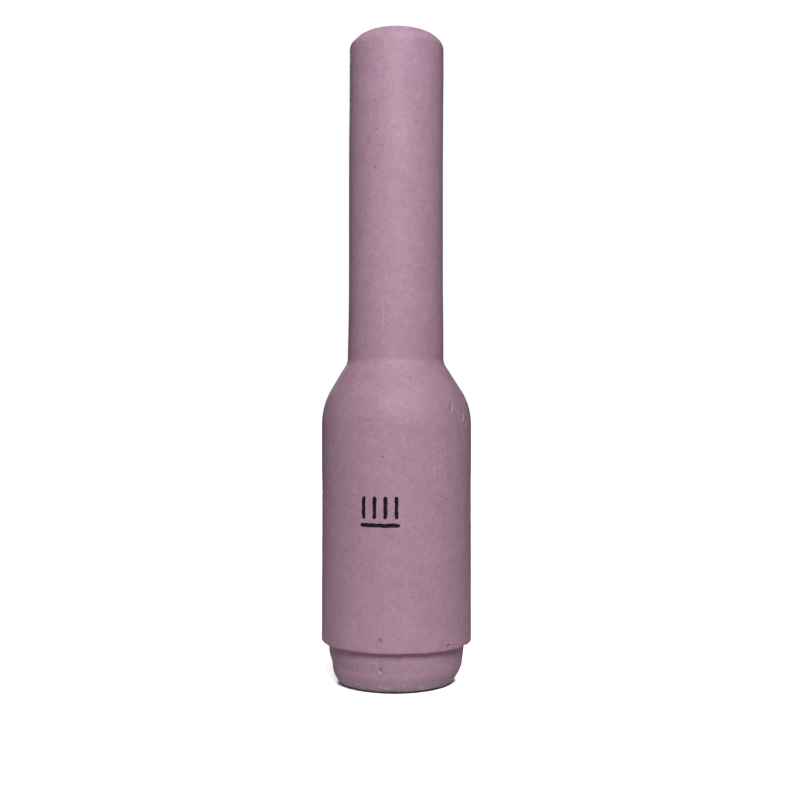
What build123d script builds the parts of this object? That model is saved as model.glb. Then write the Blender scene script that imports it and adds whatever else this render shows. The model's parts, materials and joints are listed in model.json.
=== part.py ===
from build123d import *

import math
import os

# Long gas nozzle of a TIG welding torch.
#
# The nozzle is one piece of sintered pink alumina: a thick body that screws onto the torch's collet
# body, a round shoulder, and a long thin tube that carries the shielding gas down to the weld. The only
# other thing on it is the ink stamp of its size. It is modelled standing on its torch end.
#
# Frame: +Z is the nozzle's axis and points to the gas outlet. The origin is the centre of the torch-end
# face. The stamp faces -Y. All sizes are in millimetres.

# ---- Outside -------------------------------------------------------------------------------------
LENGTH = 76.0  # torch-end face to gas outlet

BODY_DIA = 17.6
BODY_STRAIGHT = 25.2  # cylindrical part of the body, from the step to the shoulder
STEP_EDGE = 0.2  # rounded lower edge of the body

SHOULDER_RADIUS = 7.9  # convex arc, tangent to the body
SHOULDER_LEAN = 32.0  # degrees from the axis, where the arc runs on as a short cone
NECK_FILLET = 1.25  # concave arc between the cone and the tube

TUBE_WALL = 2.35  # round the gas bore
TUBE_FLARE = 0.1  # the root of the tube is thicker by this much ...
TUBE_FLARE_LEN = 8.0  # ... and thins to the plain tube over this length
TIP_FLAT = 0.35  # ring that stays flat at the gas outlet, between its two rounded edges

STEP_WIDTH = 0.8  # the body stands out this far past the root of the spigot
SPIGOT_LEN = 5.0  # the spigot is the reduced end that enters the torch's cup gasket
SPIGOT_TAPER_LEN = 2.6  # its root widens over this length ...
SPIGOT_TAPER = 0.3  # ... by this much on the radius
BASE_FLAT = 0.2  # ring that stays flat on the torch-end face, which the nozzle stands on
BASE_ROUND_UP = 2.1  # height of the elliptical outer edge of the torch-end face

# ---- Inside --------------------------------------------------------------------------------------
BORE_DIA = 6.4  # gas outlet: four sixteenths of an inch, so size 4
TIP_BORE_ROUND = 0.2  # inner edge of the gas outlet

MOUTH_DEPTH = 1.2  # plain lead-in before the first thread
SPIGOT_WALL = 1.75  # round the lead-in
MOUTH_CLEARANCE = 0.1  # lead-in radius past the thread's root
MOUTH_EDGE = 0.1  # broken inner edge of the torch-end face

THREAD_DEPTH = 0.55
THREAD_PITCH = 1.6
THREAD_LEN = 8.0
THREAD_ROOT_FLAT = 0.25
THREAD_FLANK_DEG = 25.0  # each flank, from square to the axis
THREAD_RUNOUT = 0.05  # the groove clears the threaded wall by this much at each end

RELIEF_LEN = 1.8  # plain recess where the thread ends
RELIEF_CLEARANCE = 0.05  # relief radius past the thread's root

CHAMBER_STEP = 0.3  # the chamber for the collet body's nose is this far inside the thread's crests
CONE_LEN = 6.0  # chamber down to the bore
CONE_PAST_NECK = 1.0  # the cone ends this far above the shoulder's top, inside the tube

# ---- Size stamp ----------------------------------------------------------------------------------
# A generic tally: one tick for each sixteenth of an inch of bore, over a bar that marks the long form.
SIXTEENTH = 25.4 / 16
INK_FILM = 0.03
STROKE_WIDTH = 0.42
TICK_HEIGHT = 2.5
TICK_PITCH = 1.25
BAR_OVERHANG = 0.2  # the bar passes the row of ticks by this much at each end
BAR_GAP = 0.5  # clear space between the ticks and the bar
STAMP_HEIGHT = 15.7  # middle of the stamp above the step
STAMP_ANGLE = -12.0  # degrees round the body from -Y, positive towards +X

# ---- Worked out from the sizes above ---------------------------------------------------------------
BODY_R = BODY_DIA / 2
SPIGOT_R = BODY_R - STEP_WIDTH - SPIGOT_TAPER
MOUTH_R = SPIGOT_R - SPIGOT_WALL
THREAD_ROOT_R = MOUTH_R - MOUTH_CLEARANCE
THREAD_CREST_R = THREAD_ROOT_R - THREAD_DEPTH
RELIEF_R = THREAD_ROOT_R + RELIEF_CLEARANCE
CHAMBER_R = THREAD_CREST_R - CHAMBER_STEP
BASE_ROUND_IN = SPIGOT_WALL - BASE_FLAT - MOUTH_EDGE

BORE_R = BORE_DIA / 2
TUBE_R = BORE_R + TUBE_WALL
TUBE_ROOT_R = TUBE_R + TUBE_FLARE
TIP_ROUND = TUBE_WALL - TIP_FLAT - TIP_BORE_ROUND

SHOULDER_START = SPIGOT_LEN + BODY_STRAIGHT
THREAD_TOP = MOUTH_DEPTH + THREAD_LEN
RELIEF_TOP = THREAD_TOP + RELIEF_LEN


def on_circle(centre, radius, degrees):
    """The point of a circle in the (radius, height) plane at an angle from the radial direction."""
    turn = math.radians(degrees)
    return centre[0] + radius * math.cos(turn), centre[1] + radius * math.sin(turn)


def shoulder_centres():
    """Centres of the shoulder's arc and of the neck's fillet; the cone between them is tangent to both."""
    shoulder = (BODY_R - SHOULDER_RADIUS, SHOULDER_START)
    cone_foot = on_circle(shoulder, SHOULDER_RADIUS, SHOULDER_LEAN)
    neck_radius = TUBE_ROOT_R + NECK_FILLET
    cone_head_radius = on_circle((neck_radius, 0), NECK_FILLET, 180 + SHOULDER_LEAN)[0]
    lean = math.radians(SHOULDER_LEAN)
    cone_head_height = cone_foot[1] + (cone_foot[0] - cone_head_radius) / math.tan(lean)
    return shoulder, (neck_radius, cone_head_height + NECK_FILLET * math.sin(lean))


def corner_arc(start, end, centre, radius, degrees):
    """A quarter round from start to end whose middle lies at the given direction from its centre."""
    return ThreePointArc(start, on_circle(centre, radius, degrees), end)


def outer_line():
    """The outside, from the torch-end face up to the gas outlet, as edges in the (radius, height) plane."""
    shoulder, neck = shoulder_centres()
    cone_foot = on_circle(shoulder, SHOULDER_RADIUS, SHOULDER_LEAN)
    cone_head = on_circle(neck, NECK_FILLET, 180 + SHOULDER_LEAN)
    taper_foot = (SPIGOT_R, SPIGOT_LEN - SPIGOT_TAPER_LEN)
    base_side = (SPIGOT_R, BASE_ROUND_UP)
    base_foot = (SPIGOT_R - BASE_ROUND_IN, 0)
    base_centre = (base_foot[0], BASE_ROUND_UP)
    root = (SPIGOT_R + SPIGOT_TAPER, SPIGOT_LEN)
    step_rim = (BODY_R - STEP_EDGE, SPIGOT_LEN)
    step_side = (BODY_R, SPIGOT_LEN + STEP_EDGE)
    body_top = (BODY_R, SHOULDER_START)
    tube_root = (TUBE_ROOT_R, neck[1])
    tube_foot = (TUBE_R, neck[1] + TUBE_FLARE_LEN)
    tube_top = (TUBE_R, LENGTH - TIP_ROUND)
    tip_rim = (TUBE_R - TIP_ROUND, LENGTH)
    return [
        EllipticalCenterArc(base_centre, BASE_ROUND_IN, BASE_ROUND_UP, start_angle=-90, arc_size=90),
        Line(base_side, taper_foot),
        Line(taper_foot, root),
        Line(root, step_rim),
        corner_arc(step_rim, step_side, (step_rim[0], step_side[1]), STEP_EDGE, -45),
        Line(step_side, body_top),
        ThreePointArc(body_top, on_circle(shoulder, SHOULDER_RADIUS, SHOULDER_LEAN / 2), cone_foot),
        Line(cone_foot, cone_head),
        ThreePointArc(cone_head, on_circle(neck, NECK_FILLET, 180 + SHOULDER_LEAN / 2), tube_root),
        Line(tube_root, tube_foot),
        Line(tube_foot, tube_top),
        corner_arc(tube_top, tip_rim, (tip_rim[0], tube_top[1]), TIP_ROUND, 45),
    ], base_foot, tip_rim


def inner_line():
    """The inside, from the gas outlet down to the torch-end face, with the thread still uncut."""
    cone_top = shoulder_centres()[1][1] + CONE_PAST_NECK
    outlet_rim = (BORE_R + TIP_BORE_ROUND, LENGTH)
    outlet_side = (BORE_R, LENGTH - TIP_BORE_ROUND)
    round_centre = (outlet_rim[0], outlet_side[1])
    mouth_edge = (MOUTH_R, MOUTH_EDGE)
    mouth_foot = (MOUTH_R + MOUTH_EDGE, 0)
    walls = [
        outlet_side,
        (BORE_R, cone_top),
        (CHAMBER_R, cone_top - CONE_LEN),
        (CHAMBER_R, RELIEF_TOP + RELIEF_R - CHAMBER_R),
        (RELIEF_R, RELIEF_TOP),
        (RELIEF_R, THREAD_TOP),
        (THREAD_CREST_R, THREAD_TOP),
        (THREAD_CREST_R, MOUTH_DEPTH),
        (MOUTH_R, MOUTH_DEPTH),
        mouth_edge,
        mouth_foot,
    ]
    outlet = corner_arc(outlet_rim, outlet_side, round_centre, TIP_BORE_ROUND, 135)
    return [outlet, Polyline(*walls)], outlet_rim, mouth_foot


def thread_groove():
    """The helical groove that the torch's thread runs in, as a solid to cut away."""
    inside = THREAD_DEPTH / 2  # the cutter starts this far inside the threaded wall
    slope = math.tan(math.radians(THREAD_FLANK_DEG))
    root_half = THREAD_ROOT_FLAT / 2
    wall_half = root_half + THREAD_DEPTH * slope
    open_half = wall_half + inside * slope
    past_end = wall_half + THREAD_RUNOUT
    foot = (0, 0, MOUTH_DEPTH - past_end)
    path = Helix(THREAD_PITCH, THREAD_LEN + 2 * past_end, THREAD_CREST_R, center=foot)
    # the section's own x runs outwards and its y runs along the nozzle's axis
    section = Plane(origin=path @ 0, x_dir=(1, 0, 0), z_dir=path % 0) * Polygon(
        (-inside, -open_half),
        (THREAD_DEPTH, -root_half),
        (THREAD_DEPTH, root_half),
        (-inside, open_half),
        align=None,
    )
    return sweep(section, path=path, is_frenet=True)


def ceramic_nozzle():
    """The pressed and sintered alumina body with its bore and thread."""
    outside, base_foot, tip_rim = outer_line()
    inside, outlet_rim, mouth_foot = inner_line()
    rims = [Line(tip_rim, outlet_rim), Line(mouth_foot, base_foot)]
    # the revolved faces have their seam at the back, a quarter turn from the start of the groove
    outline = Plane.YZ * make_face(outside + inside + rims)
    return revolve(outline, axis=Axis.Z) - thread_groove()


def stroke(across, up, length, lean):
    """One round-ended stroke of ink on the body; across is measured along the surface, lean is in degrees."""
    outline = SlotOverall(length, STROKE_WIDTH, rotation=lean)
    column = extrude(Plane.XZ * outline, BODY_DIA)
    film = Cylinder(BODY_R + INK_FILM, BODY_STRAIGHT) - Cylinder(BODY_R, BODY_STRAIGHT)
    turn = STAMP_ANGLE + math.degrees(across / BODY_R)
    return Pos(0, 0, SPIGOT_LEN + STAMP_HEIGHT + up) * Rot(0, 0, turn) * (column & film)


def size_stamp():
    """The ink tally: a row of ticks with the bar below them."""
    total = TICK_HEIGHT + BAR_GAP + STROKE_WIDTH
    tick_up = total / 2 - TICK_HEIGHT / 2
    bar_up = STROKE_WIDTH / 2 - total / 2
    tick_count = round(BORE_DIA / SIXTEENTH)
    row = TICK_PITCH * (tick_count - 1)
    strokes = [stroke(TICK_PITCH * i - row / 2, tick_up, TICK_HEIGHT, 90) for i in range(tick_count)]
    strokes.append(stroke(0, bar_up, row + STROKE_WIDTH + 2 * BAR_OVERHANG, 0))
    return Compound(children=strokes)


os.makedirs("parts", exist_ok=True)
export_step(ceramic_nozzle(), "parts/ceramic_nozzle.step")
export_step(size_stamp(), "parts/size_stamp.step")
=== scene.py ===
import json
import math

import bmesh
import bpy
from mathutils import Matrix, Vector, noise


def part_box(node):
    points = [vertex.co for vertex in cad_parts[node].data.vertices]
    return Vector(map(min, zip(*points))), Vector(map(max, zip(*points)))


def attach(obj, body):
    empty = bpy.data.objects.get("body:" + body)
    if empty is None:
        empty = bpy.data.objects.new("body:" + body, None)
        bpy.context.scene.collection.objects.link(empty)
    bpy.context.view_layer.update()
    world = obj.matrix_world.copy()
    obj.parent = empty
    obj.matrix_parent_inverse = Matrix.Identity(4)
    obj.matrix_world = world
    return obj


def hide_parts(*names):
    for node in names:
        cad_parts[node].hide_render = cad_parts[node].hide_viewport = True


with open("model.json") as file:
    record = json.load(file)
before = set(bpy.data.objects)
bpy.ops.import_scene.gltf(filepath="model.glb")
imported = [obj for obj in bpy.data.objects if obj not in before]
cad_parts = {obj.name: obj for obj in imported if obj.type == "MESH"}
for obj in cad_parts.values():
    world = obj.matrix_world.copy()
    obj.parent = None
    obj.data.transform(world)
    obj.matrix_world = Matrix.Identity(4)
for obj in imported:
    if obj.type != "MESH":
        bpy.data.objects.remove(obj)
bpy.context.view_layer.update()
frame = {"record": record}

# ---- The ceramic nozzle ------------------------------------------------------------------------------
# A one-piece gas nozzle of pink alumina, turned as a pressed blank, threaded inside its thick end while
# still soft, and sintered unglazed. It screws onto the torch's collet body; its thin end guides the gas.
MM = 0.001
mounts = {mount["name"]: mount for mount in frame["record"]["mounts"]}
nozzle_low, nozzle_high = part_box("ceramic_nozzle")

length = nozzle_high[2] / MM
body_r = nozzle_high[0] / MM
bore_r = mounts["gas_bore"]["dims"]["r_mm"]
chamber_r = mounts["collet_chamber"]["dims"]["r_mm"]
crest_r = mounts["torch_thread"]["dims"]["r_mm"]
thread_len = mounts["torch_thread"]["dims"]["length_mm"]
thread_foot = mounts["torch_thread"]["pos_m"][2] / MM - thread_len / 2
step_z = mounts["gasket_step"]["pos_m"][2] / MM

tube_r = 5.55
tube_root_r = 5.65
tube_flare = 8.0
tip_round = 1.8
shoulder_z = 30.2
shoulder_r = 7.9
shoulder_lean = 32.0
neck_r = 1.8
step_edge = 0.2
spigot_root_r = 8.02
spigot_r = 7.7
spigot_taper_z = 2.4
base_round_in = 1.45
base_round_up = 2.1
mouth_r = 5.95
mouth_edge = 0.1
root_r = 5.85
relief_r = 5.9
relief_top = 11.0
bore_edge = 0.2
pitch = 1.6
groove_start = 0.77
groove_open_half = 0.25
groove_root_half = 0.08

# how far the fired surface strays from the true outline
waviness = 0.012
parting_groove = 0.012
parting_z = 30.9
rim_r = 8.75
rim_chip_in = 0.25
rim_chip_up = 0.24
rim_drop = 0.1
foot_offset = 0.1
foot_trim = 0.27
foot_nick_in = 0.2
foot_nick_up = 0.14
least_foot_ring = 0.15
tip_wear = 0.12
tip_drop = 0.16
tube_lean = 0.07


def run_to(mesh, pen, r, z, steps):
    """Carries the outline on from its last point in a straight line, in even steps."""
    start = pen.co.copy()
    for step in range(1, steps + 1):
        pen = bmesh.ops.extrude_vert_indiv(mesh, verts=[pen])["verts"][0]
        pen.co = start.lerp(Vector((r * MM, 0, z * MM)), step / steps)
    return pen


def turn_about(mesh, pen, r, z, degrees, steps):
    """Carries the outline on round a centre, anticlockwise with the axis on the left."""
    made = bmesh.ops.spin(
        mesh, geom=[pen], cent=(r * MM, 0, z * MM), axis=(0, -1, 0), angle=math.radians(degrees), steps=steps
    )
    return [item for item in made["geom_last"] if isinstance(item, bmesh.types.BMVert)][0]


def smooth(start, end, value):
    """Goes smoothly from 0 at start to 1 at end."""
    share = min(1, max(0, (value - start) / (end - start)))
    return share * share * (3 - 2 * share)


def bell(middle, width, value):
    """1 at the middle, and falls off smoothly on both sides."""
    return math.exp(-(((value - middle) / width) ** 2))


lean = math.radians(shoulder_lean)
cone_foot_r = body_r - shoulder_r * (1 - math.cos(lean))
cone_foot_z = shoulder_z + shoulder_r * math.sin(lean)
cone_head_r = tube_root_r + neck_r * (1 - math.cos(lean))
cone_head_z = cone_foot_z + (cone_foot_r - cone_head_r) / math.tan(lean)
neck_z = cone_head_z + neck_r * math.sin(lean)
cone_top = neck_z + 1.0

blank = bmesh.new()
first = blank.verts.new(((spigot_r - base_round_in) * MM, 0, 0))
before = set(blank.verts)
pen = turn_about(blank, first, spigot_r - base_round_in, base_round_in, 90, 10)
foot_round = [vert for vert in blank.verts if vert not in before]
bmesh.ops.scale(blank, vec=(1, 1, base_round_up / base_round_in), verts=foot_round)
pen = run_to(blank, pen, spigot_r, spigot_taper_z, 3)
pen = run_to(blank, pen, spigot_root_r - 0.12, step_z - 1.3, 5)
pen = run_to(blank, pen, spigot_root_r, step_z, 5)
pen = run_to(blank, pen, body_r - step_edge, step_z, 4)
pen = turn_about(blank, pen, body_r - step_edge, step_z + step_edge, 90, 4)
pen = run_to(blank, pen, body_r, shoulder_z, 84)
pen = turn_about(blank, pen, body_r - shoulder_r, shoulder_z, shoulder_lean, 16)
pen = run_to(blank, pen, cone_head_r, cone_head_z, 10)
pen = turn_about(blank, pen, tube_root_r + neck_r, neck_z, -shoulder_lean, 12)
pen = run_to(blank, pen, tube_r, neck_z + tube_flare, 16)
pen = run_to(blank, pen, tube_r, length - tip_round, 48)
pen = turn_about(blank, pen, tube_r - tip_round, length - tip_round, 90, 12)
pen = run_to(blank, pen, bore_r + bore_edge, length, 2)
pen = turn_about(blank, pen, bore_r + bore_edge, length - bore_edge, 90, 4)
pen = run_to(blank, pen, bore_r, cone_top, 12)
pen = run_to(blank, pen, chamber_r, cone_top - 6.0, 6)
pen = run_to(blank, pen, chamber_r, relief_top + relief_r - chamber_r, 10)
pen = run_to(blank, pen, relief_r, relief_top, 2)
pen = run_to(blank, pen, relief_r, thread_foot + thread_len, 2)
pen = run_to(blank, pen, crest_r, thread_foot + thread_len, 1)
pen = run_to(blank, pen, crest_r, thread_foot, 90)
pen = run_to(blank, pen, mouth_r, thread_foot, 1)
pen = run_to(blank, pen, mouth_r, mouth_edge, 2)
pen = run_to(blank, pen, mouth_r + mouth_edge, 0, 1)
pen = run_to(blank, pen, spigot_r - base_round_in, 0, 2)
bmesh.ops.remove_doubles(blank, verts=blank.verts[:], dist=0.001 * MM)
bmesh.ops.spin(
    blank,
    geom=blank.verts[:] + blank.edges[:],
    cent=(0, 0, 0),
    axis=(0, 0, 1),
    angle=2 * math.pi,
    steps=192,
    use_merge=True,
)
bmesh.ops.recalc_face_normals(blank, faces=blank.faces[:])

# Voids that opened at the surface in firing: degrees round from the front towards +X, height, half width,
# half height, depth, and how far each leans towards +X for every mm up.
voids = [
    (46.7, 32.3, 0.32, 0.72, 0.12, 0.3),
    (60.6, 31.3, 0.34, 0.66, 0.18, 0),
    (64.9, 30.35, 0.22, 0.34, 0.08, 0),
    (-11.9, 6.33, 0.25, 0.38, 0.13, 0),
    (-13.6, 3.3, 0.36, 0.8, 0.03, 0),
    (-13.6, 2.85, 0.22, 0.36, 0.08, 0),
    (-10.1, 26.75, 0.15, 0.18, 0.1, -0.6),
    (-10.3, 27.5, 0.1, 0.1, 0.06, 0),
    (42.3, 5.48, 0.3, 0.18, 0.12, 0),
    (151.0, 12.3, 0.16, 0.5, 0.12, 0),
    (203.0, 33.6, 0.2, 0.44, 0.12, -0.2),
    (118.0, 20.8, 0.14, 0.16, 0.1, 0),
    (-96.0, 8.7, 0.15, 0.3, 0.12, 0),
    (236.0, 15.0, 0.13, 0.14, 0.1, 0),
]


def from_void(co, void, reach):
    """How far a point is from a void's middle, 1 at its rim."""
    turn, height, half_width, half_height, _, lean_over = void
    radius = math.hypot(co.x, co.y)
    around = math.atan2(co.x, -co.y) - math.radians(turn)
    around = (around + math.pi) % (2 * math.pi) - math.pi
    up = co.z - height * MM
    across = (around * radius - lean_over * up) / (half_width * MM * reach)
    return math.hypot(across, up / (half_height * MM * reach))


def outside(co):
    """Whether a point is on the nozzle's outer surface and not in its bore."""
    if co.z > (length - tip_round) * MM:
        inner_limit = 3.5
    else:
        inner_limit = 6.2 if co.z < 33 * MM else 5.1
    return math.hypot(co.x, co.y) > inner_limit * MM


for cuts, reach in ((1, 3.2), (1, 2.2), (1, 1.6)):
    near = set()
    for vert in blank.verts:
        if outside(vert.co) and any(from_void(vert.co, void, reach) < 1 for void in voids):
            near.update(edge for face in vert.link_faces for edge in face.edges)
    bmesh.ops.subdivide_edges(blank, edges=list(near), cuts=cuts, use_grid_fill=True)

# painted shade for the voids: how far into a void each point lies, which darkens its colour
pit_shade_layer = blank.verts.layers.float.new("hollow")
for vert in blank.verts:
    radius = math.hypot(vert.co.x, vert.co.y)
    turn = math.atan2(vert.co.y, vert.co.x)
    outward = Vector((vert.co.x, vert.co.y, 0)) / radius
    side = outward.x
    r, z = radius / MM, vert.co.z / MM
    if outside(vert.co):
        wave = noise.noise(vert.co / (3.5 * MM)) + 0.4 * noise.noise(vert.co / (1.1 * MM))
        inward = waviness * (1.4 + wave) + parting_groove * bell(parting_z, 0.14, z)
        for void in voids:
            away = from_void(vert.co, void, 1)
            if away < 1.6:
                depth = void[4]
                hollow = max(0, 1 - away * away) ** 0.6
                inward += depth * hollow - 0.018 * bell(1.12, 0.2, away)
                vert[pit_shade_layer] = max(vert[pit_shade_layer], hollow * min(1, depth / 0.16))
        # the step's rim chips easily, and it isn't quite level
        rim = bell(rim_r, 0.25, r) * bell(step_z + 0.05, 0.25, z)
        chip = max(0, noise.noise(vert.co / (0.9 * MM) + Vector((7, 3, 1))) - 0.22)
        inward += rim_chip_in * chip * rim
        vert.co -= outward * inward * MM
        uneven = 0.05 * noise.noise(outward * 3) + 0.06 * noise.noise(outward * 14)
        vert.co.z += (uneven + rim_chip_up * chip - rim_drop * (1 + side / 2)) * rim * MM
        inward = tip_wear * bell(length - 0.6, 0.5, z) * (1 - 0.4 * side)
        if z < step_z - 0.01:
            # the pressed blank's core sat a little to one side, and its foot was trimmed unevenly
            inward += (foot_offset / 2 - foot_offset * side) * smooth(3.6, 2.4, z)
            inward += (foot_trim + 0.2 * side) * smooth(2.6, 0.5, z)
            nick = max(0, noise.noise(vert.co / (0.7 * MM) + Vector((2, 9, 4))) - 0.15)
            nick *= bell(0.15, 0.4, z)
            inward = min(inward + foot_nick_in * nick, r - mouth_r - least_foot_ring)
            vert.co.z += foot_nick_up * nick * MM
        vert.co -= outward * inward * MM
    elif thread_foot - 0.01 < z < thread_foot + thread_len + 0.01 and r < crest_r + 0.01:
        phase = ((z - groove_start) / pitch - turn / (2 * math.pi) + 0.5) % 1 - 0.5
        cut = smooth(groove_open_half, groove_root_half, abs(phase))
        vert.co += outward * cut * (root_r - crest_r) * MM
    # the slim end leans and bends a little in the kiln, and its tip is lower at the sides
    bend = smooth(31, 40, z) + bell(36.3, 3, z) - smooth(58, 74, z)
    vert.co.x -= tube_lean * bend * MM
    vert.co.z -= (0.01 + tip_drop * side**2) * smooth(length - tip_round, length, z) * MM

nozzle_mesh = bpy.data.meshes.new("alumina_nozzle")
blank.to_mesh(nozzle_mesh)
blank.free()
nozzle_mesh.set_sharp_from_angle(angle=math.radians(42))
for polygon in nozzle_mesh.polygons:
    polygon.use_smooth = True
nozzle = bpy.data.objects.new("alumina_nozzle", nozzle_mesh)
bpy.context.collection.objects.link(nozzle)


class Flow:
    """A value or colour in a recipe. Sums and products of it add Math nodes."""

    def __init__(self, recipe, socket):
        self.recipe = recipe
        self.socket = socket

    def maths(self, operation, *terms):
        return self.recipe.node("ShaderNodeMath", {"operation": operation}, dict(enumerate(terms)))

    def __add__(self, other):
        return self.maths("ADD", self, other)

    def __sub__(self, other):
        return self.maths("SUBTRACT", self, other)

    def __mul__(self, other):
        return self.maths("MULTIPLY", self, other)

    def __pow__(self, other):
        return self.maths("POWER", self, other)

    def __rsub__(self, other):
        return self.maths("SUBTRACT", other, self)

    __radd__ = __add__
    __rmul__ = __mul__

    def within(self, low, high, to_low=0.0, to_high=1.0):
        """Maps low..high smoothly onto to_low..to_high."""
        return self.recipe.node(
            "ShaderNodeMapRange",
            {"interpolation_type": "SMOOTHSTEP"},
            {"Value": self, "From Min": low, "From Max": high, "To Min": to_low, "To Max": to_high},
        )


class Recipe:
    """The nodes of a material or of the room, from its coordinates to its shader."""

    def __init__(self, owner):
        owner.use_nodes = True
        self.tree = owner.node_tree
        self.tree.nodes.clear()
        self.place = self.node("ShaderNodeTexCoord", {}, {}, "Object")

    def node(self, kind, settings, inputs, output=0):
        made = self.tree.nodes.new(kind)
        for name, value in settings.items():
            setattr(made, name, value)
        for key, value in inputs.items():
            if isinstance(value, Flow):
                self.tree.links.new(value.socket, made.inputs[key])
            else:
                made.inputs[key].default_value = value
        return Flow(self, made.outputs[output]) if made.outputs else None

    def grain(self, size_mm, detail=2.0, rough=0.5, shift=(0, 0, 0), stretch=(1, 1, 1), output="Fac"):
        """A noise whose features are about this size."""
        scale = tuple(1 / (size_mm * MM * s) for s in stretch)
        at = self.node("ShaderNodeMapping", {}, {"Vector": self.place, "Location": shift, "Scale": scale})
        inputs = {"Vector": at, "Scale": 1.0, "Detail": detail, "Roughness": rough}
        return self.node("ShaderNodeTexNoise", {}, inputs, output)

    def specks(self, spacing_mm, size, share, shift):
        """Scattered round specks: 1 inside one and 0 outside. share is how many of the cells hold one."""
        scale = (1 / (spacing_mm * MM),) * 3
        at = self.node("ShaderNodeMapping", {}, {"Vector": self.place, "Location": shift, "Scale": scale})
        cells = {"Vector": at, "Scale": 1.0, "Randomness": 1.0}
        away = self.node("ShaderNodeTexVoronoi", {}, cells, "Distance")
        pick = self.node("ShaderNodeTexVoronoi", {}, cells, "Color")
        draw = self.node("ShaderNodeSeparateColor", {}, {"Color": pick})
        chosen = draw.within(1 - share, 1 - share + 0.02)
        return away.within(size, size * 0.45) * chosen

    def blend(self, share, first, second):
        """The first colour where share is 0 and the second where it is 1."""
        return self.node("ShaderNodeMix", {"data_type": "RGBA"}, {0: share, 6: first, 7: second}, 2)

    def skin(self, colour, roughness, height, depth_mm, ior):
        """A plain surface shader whose relief is this deep."""
        bump = {"Strength": 1.0, "Distance": depth_mm * MM, "Height": height}
        relief = self.node("ShaderNodeBump", {}, bump)
        values = {"Base Color": colour, "Roughness": roughness, "IOR": ior, "Normal": relief}
        return self.node("ShaderNodeBsdfPrincipled", {}, values)

    def close(self, surface, kind="ShaderNodeOutputMaterial"):
        self.node(kind, {}, {"Surface": surface})


cool_pink = (0.408, 0.25, 0.343, 1)
warm_pink = (0.415, 0.243, 0.312, 1)
magenta = (0.395, 0.22, 0.31, 1)
grey_pink = (0.43, 0.268, 0.342, 1)
pale_scuff = (0.6, 0.46, 0.54, 1)
# painted bounce light for the shade under the step: brighter and deeper than the body's pink
painted_bounce_pink = (0.56, 0.262, 0.415, 1)
dark_speck = (0.16, 0.075, 0.115, 1)
painted_pit_shade = (0.26, 0.14, 0.2, 1)

alumina_material = bpy.data.materials.new("sintered_pink_alumina")
alumina = Recipe(alumina_material)
across_mm, back_mm, height_mm = [
    alumina.node("ShaderNodeSeparateXYZ", {}, {"Vector": alumina.place}, axis) * 1000 for axis in range(3)
]
cloud = alumina.grain(5.0, detail=3.0)
blotch = alumina.grain(1.7, detail=3.0, rough=0.6, shift=(8, 6, 2))
patch = alumina.grain(0.8, detail=3.0, rough=0.6, shift=(3, 1, 7))
fine = alumina.grain(0.28, detail=2.0, rough=0.65, shift=(9, 4, 2))
cooler = height_mm.within(22, 76) * 0.8 + height_mm.within(5, 4) * 0.4
tone = alumina.blend(cooler + (cloud - 0.5) * 0.9, warm_pink, cool_pink)
tone = alumina.blend(blotch.within(0.5, 0.7) * 0.7, tone, magenta)
tone = alumina.blend(blotch.within(0.5, 0.32) * 0.6, tone, grey_pink)
# brighter from 37 mm up, and darker over the shoulder: painted shade that dims the shoulder's highlight
tube_lift_and_painted_shoulder_shade = height_mm.within(37, 46) * 0.06 - height_mm.within(30, 33) * height_mm.within(37.5, 35.5) * 0.06
brightness = 1.0 + (fine - 0.5) * 0.48 + (patch - 0.5) * 0.28 + (cloud - 0.5) * 0.14 + tube_lift_and_painted_shoulder_shade
tone = alumina.node("ShaderNodeVectorMath", {"operation": "SCALE"}, {"Vector": tone, "Scale": brightness})
dark = alumina.specks(1.9, 0.08, 0.3, (4, 4, 4))
light = alumina.specks(1.5, 0.08, 0.22, (1, 8, 5))
tone = alumina.blend(dark * 0.6, tone, dark_speck)
tone = alumina.blend(light * 0.35, tone, pale_scuff)

# soft rub marks that run up and down the wall, and the paler edge that the nozzle stands on: dust and wear,
# and an even painted light that lifts the shade on the downward-facing foot
rub = alumina.grain(0.8, detail=4.0, rough=0.7, shift=(5, 2, 3), stretch=(1, 1, 3.5)).within(0.6, 0.78)
tone = alumina.blend(rub * 0.16, tone, pale_scuff)
dust = alumina.grain(0.6, detail=3.0, rough=0.6, shift=(5, 5, 1), stretch=(1, 1, 0.5)).within(0.53, 0.62)
foot_edge = height_mm.within(1.5, 0.9) * height_mm.within(0.1, 0.4)
# the foot's band is lightened evenly as well as in dusty spots: painted light on its downward-facing surface
lip_wear_and_painted_light = foot_edge * (dust + 0.35) + height_mm.within(length - 1.2, length - 0.5) * dust * 0.7
tone = alumina.blend(lip_wear_and_painted_light * 0.6, tone, pale_scuff)

# the corner under the step, painted a brighter, deeper pink that stands in for bounce light in its shade,
# and the broken line where the two press dies met
under_step_painted_bounce = height_mm.within(4.1, 4.55) * height_mm.within(step_z + 0.1, step_z)
tone = alumina.blend(under_step_painted_bounce * 0.8, tone, painted_bounce_pink)
parting = height_mm.within(30.65, 30.9) * height_mm.within(31.2, 30.95) * blotch.within(0.4, 0.65)
tone = alumina.blend(parting * 0.13, tone, dark_speck)

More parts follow.
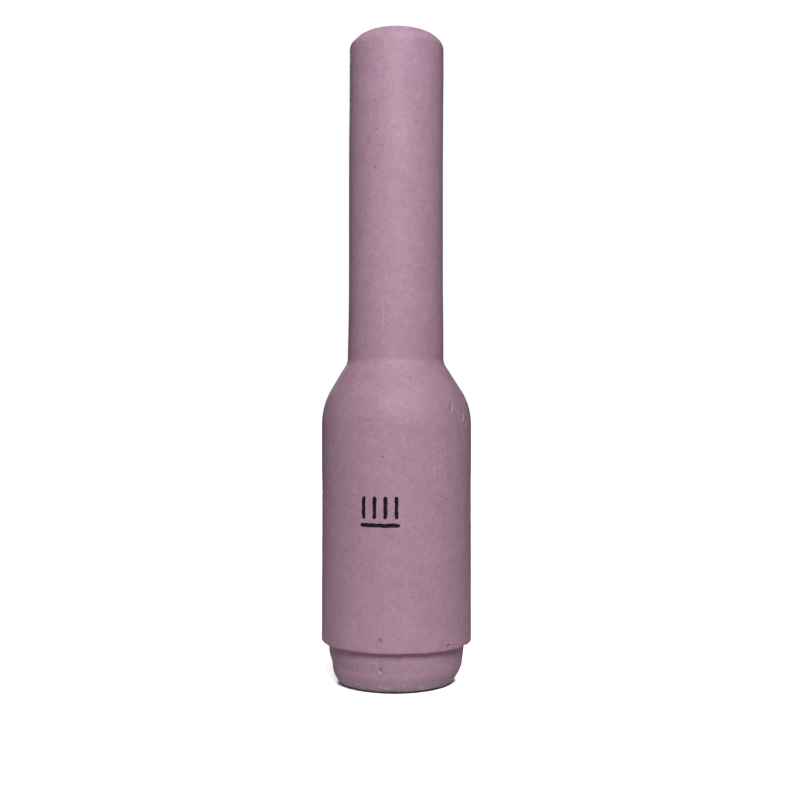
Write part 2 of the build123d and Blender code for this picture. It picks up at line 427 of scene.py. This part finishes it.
# single marks on the front: mm across, height, half width, half height, colour and strength
marks = [
    (-4.9, 35.8, 0.12, 0.12, dark_speck, 0.4),
    (1.53, 35.6, 0.1, 0.12, dark_speck, 0.4),
    (1.49, 29.8, 0.11, 0.13, dark_speck, 0.4),
    (-3.3, 73.3, 0.1, 0.1, dark_speck, 0.4),
    (-2.4, 67.3, 0.09, 0.12, dark_speck, 0.5),
    (-1.6, 62.0, 0.1, 0.1, dark_speck, 0.4),
    (-3.05, 58.9, 0.13, 0.12, dark_speck, 0.4),
    (-3.3, 71.1, 0.09, 0.1, dark_speck, 0.35),
    (-2.2, 63.9, 0.1, 0.12, dark_speck, 0.45),
    (-2.0, 61.25, 0.09, 0.1, dark_speck, 0.4),
    (-1.6, 62.7, 0.08, 0.1, dark_speck, 0.25),
    (-3.9, 62.2, 0.12, 0.1, dark_speck, 0.25),
    (0.2, 63.2, 0.2, 0.16, pale_scuff, 0.3),
    (-0.3, 64.7, 0.3, 0.14, pale_scuff, 0.25),
    (-1.6, 3.98, 0.24, 0.07, dark_speck, 0.3),
    (4.2, 25.4, 0.12, 0.14, pale_scuff, 0.45),
    (4.25, 25.0, 0.1, 0.12, pale_scuff, 0.45),
    (-1.47, 42.7, 0.08, 1.7, pale_scuff, 0.2),
    (-1.8, 2.6, 0.26, 0.14, pale_scuff, 0.3),
    (5.9, 5.55, 0.24, 0.12, dark_speck, 0.3),
]
front = back_mm.within(0.5, -0.5)
for across, up, half_width, half_height, colour, share in marks:
    inside = ((across_mm - across) * (1 / half_width)) ** 2 + ((height_mm - up) * (1 / half_height)) ** 2
    tone = alumina.blend(inside.within(2.4, 0.4) * front * share, tone, colour)
# painted shade inside the voids, darkest at their middles
pit_shade_mask = alumina.node("ShaderNodeAttribute", {"attribute_name": "hollow"}, {}, "Fac")
tone = alumina.blend(pit_shade_mask * 0.8, tone, painted_pit_shade)
relief = fine * 0.4 + alumina.grain(0.09, detail=1.0, shift=(2, 2, 6)) * 0.25 + patch * 0.6 - dark * 0.6
alumina.close(alumina.skin(tone, 0.6 + (patch - 0.5) * 0.2 + lip_wear_and_painted_light * 0.1, relief, 0.02, 1.5))
nozzle_mesh.materials.append(alumina_material)
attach(nozzle, "root")
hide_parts("ceramic_nozzle")

# ---- The size stamp ----------------------------------------------------------------------------------
# A tally printed on the body with a rubber stamp in dark fired ink: four ticks over one bar. The ink is
# thin and uneven, and its strokes swell a little at their ends.
stamp_low, stamp_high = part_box("size_stamp")
stamp_angle = -12.0
stamp_z = (stamp_low[2] + stamp_high[2]) / 2 / MM
stroke_width = 0.42
tick_height = 2.5
tick_pitch = 1.25
bar_gap = 0.5
bar_length = 4.57
ink_film = 0.03
edge_swell = 0.36
edge_fray = 0.24

ink = bmesh.new()


def stroke(across, up, length_mm, upright):
    """Lays one round-ended stroke of ink flat, in mm across and up from the stamp's middle."""
    made = bmesh.ops.create_grid(ink, x_segments=48, y_segments=6, size=1)["verts"]
    for vert in made:
        along, side = vert.co.x, vert.co.y
        reach = max(0, abs(along) * length_mm / 2 - (length_mm - stroke_width) / 2) / (stroke_width / 2)
        half = stroke_width / 2 * math.sqrt(max(0.02, 1 - reach * reach))
        edge = Vector((along * length_mm / 2 + across * 3, side * 2 + up, 1.5))
        half *= 1 + edge_swell * noise.noise(edge * 1.7) + edge_fray * noise.noise(edge * 5)
        place = (along * length_mm / 2, side * half)
        if upright:
            place = (-place[1], place[0])
        vert.co = Vector((across + place[0], up + place[1], 0))


total = tick_height + bar_gap + stroke_width
for tick in range(4):
    stroke((tick - 1.5) * tick_pitch, total / 2 - tick_height / 2, tick_height, True)
stroke(0, stroke_width / 2 - total / 2, bar_length, False)
film = bmesh.ops.extrude_face_region(ink, geom=ink.faces[:])
for vert in [item for item in film["geom"] if isinstance(item, bmesh.types.BMVert)]:
    vert.co.z = 1
for vert in ink.verts:
    turn = math.radians(stamp_angle) + vert.co.x / body_r
    radius = body_r + (ink_film * 0.8 if vert.co.z > 0.5 else -0.05)
    vert.co = Vector((math.sin(turn) * radius, -math.cos(turn) * radius, stamp_z + vert.co.y)) * MM
bmesh.ops.recalc_face_normals(ink, faces=ink.faces[:])
stamp_mesh = bpy.data.meshes.new("size_tally")
ink.to_mesh(stamp_mesh)
ink.free()
stamp = bpy.data.objects.new("size_tally", stamp_mesh)
bpy.context.collection.objects.link(stamp)

ink_material = bpy.data.materials.new("fired_stamp_ink")
stamping_ink = Recipe(ink_material)
thin = stamping_ink.grain(0.3, detail=3.0, rough=0.65, shift=(6, 2, 2))
pinhole = stamping_ink.specks(0.35, 0.22, 0.3, (2, 7, 3))
ink_tone = stamping_ink.blend(thin.within(0.45, 0.75), (0.01, 0.0035, 0.011, 1), (0.045, 0.017, 0.045, 1))
ink_tone = stamping_ink.blend(pinhole * 0.5, ink_tone, (0.17, 0.1, 0.14, 1))
stamping_ink.close(stamping_ink.skin(ink_tone, 0.7 + thin * 0.2, thin, 0.01, 1.25))
stamp_mesh.materials.append(ink_material)
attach(stamp, "root")
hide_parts("size_stamp")

# ---- The studio --------------------------------------------------------------------------------------
# A white table that runs out to a white room, a large soft box in front of the nozzle and above it, a
# small one behind it, the glow of the lit paper round its foot, and a camera level with its shoulder.
table = bmesh.new()
bmesh.ops.create_grid(table, x_segments=1, y_segments=1, size=4.0)
table_mesh = bpy.data.meshes.new("table")
table.to_mesh(table_mesh)
table.free()
floor = bpy.data.objects.new("table", table_mesh)
bpy.context.collection.objects.link(floor)
paper_material = bpy.data.materials.new("white_paper")
paper = Recipe(paper_material)
paper_tone = paper.blend(paper.grain(60.0).within(0.3, 0.7), (0.9, 0.9, 0.9, 1), (0.93, 0.93, 0.93, 1))
sheet = paper.skin(paper_tone, 0.9, paper.grain(1.0), 0.005, 1.3)
clear = paper.node("ShaderNodeBsdfTransparent", {}, {})
under = paper.node("ShaderNodeNewGeometry", {}, {}, "Backfacing")
paper.close(paper.node("ShaderNodeMixShader", {}, {0: under, 1: sheet, 2: clear}))
table_mesh.materials.append(paper_material)
floor.visible_diffuse = False
floor.visible_glossy = False


def lamp(name, kind, place, aim, **settings):
    """A light at a place, facing a point."""
    light = bpy.data.lights.new(name, kind)
    for key, value in settings.items():
        setattr(light, key, value)
    holder = bpy.data.objects.new(name, light)
    holder.location = place
    holder.rotation_euler = (Vector(aim) - Vector(place)).to_track_quat("-Z", "Y").to_euler()
    holder.visible_camera = False
    bpy.context.collection.objects.link(holder)
    return holder


lamp("front_box", "AREA", (0.019, -0.3, 0.26), (0, 0, 0.04), shape="SQUARE", size=0.14, energy=1.42)
lamp("back_box", "AREA", (-0.05, 0.34, 0.2), (0, 0, 0.03), shape="SQUARE", size=0.12, energy=1.1)
lamp("paper_glow", "AREA", (0, 0, 0.0003), (0, 0, 1), shape="DISK", size=0.12, energy=0.01)
table_sun = lamp("table_sun", "SUN", (0.25, -1, 1.1), (0, 0, 0), energy=5.4, angle=0.2)
lit = bpy.data.collections.new("table_only")
lit.objects.link(floor)
table_sun.light_linking.receiver_collection = lit

room = bpy.data.worlds.new("white_room")
air = Recipe(room)
seen = air.node("ShaderNodeLightPath", {}, {}, "Is Camera Ray")
glow = air.blend(seen, (0.095, 0.095, 0.1, 1), (1.0, 1.0, 1.0, 1))
air.close(air.node("ShaderNodeBackground", {}, {"Color": glow}), "ShaderNodeOutputWorld")
bpy.context.scene.world = room
bpy.context.scene.view_settings.view_transform = "Standard"

lens = bpy.data.cameras.new("camera")
lens.lens = 54.34
lens.sensor_width = 36.0
camera = bpy.data.objects.new("camera", lens)
camera.location = (0.00041, -0.1423, 0.0331)
camera.rotation_euler = (math.radians(90), 0, 0)
bpy.context.collection.objects.link(camera)
bpy.context.scene.camera = camera
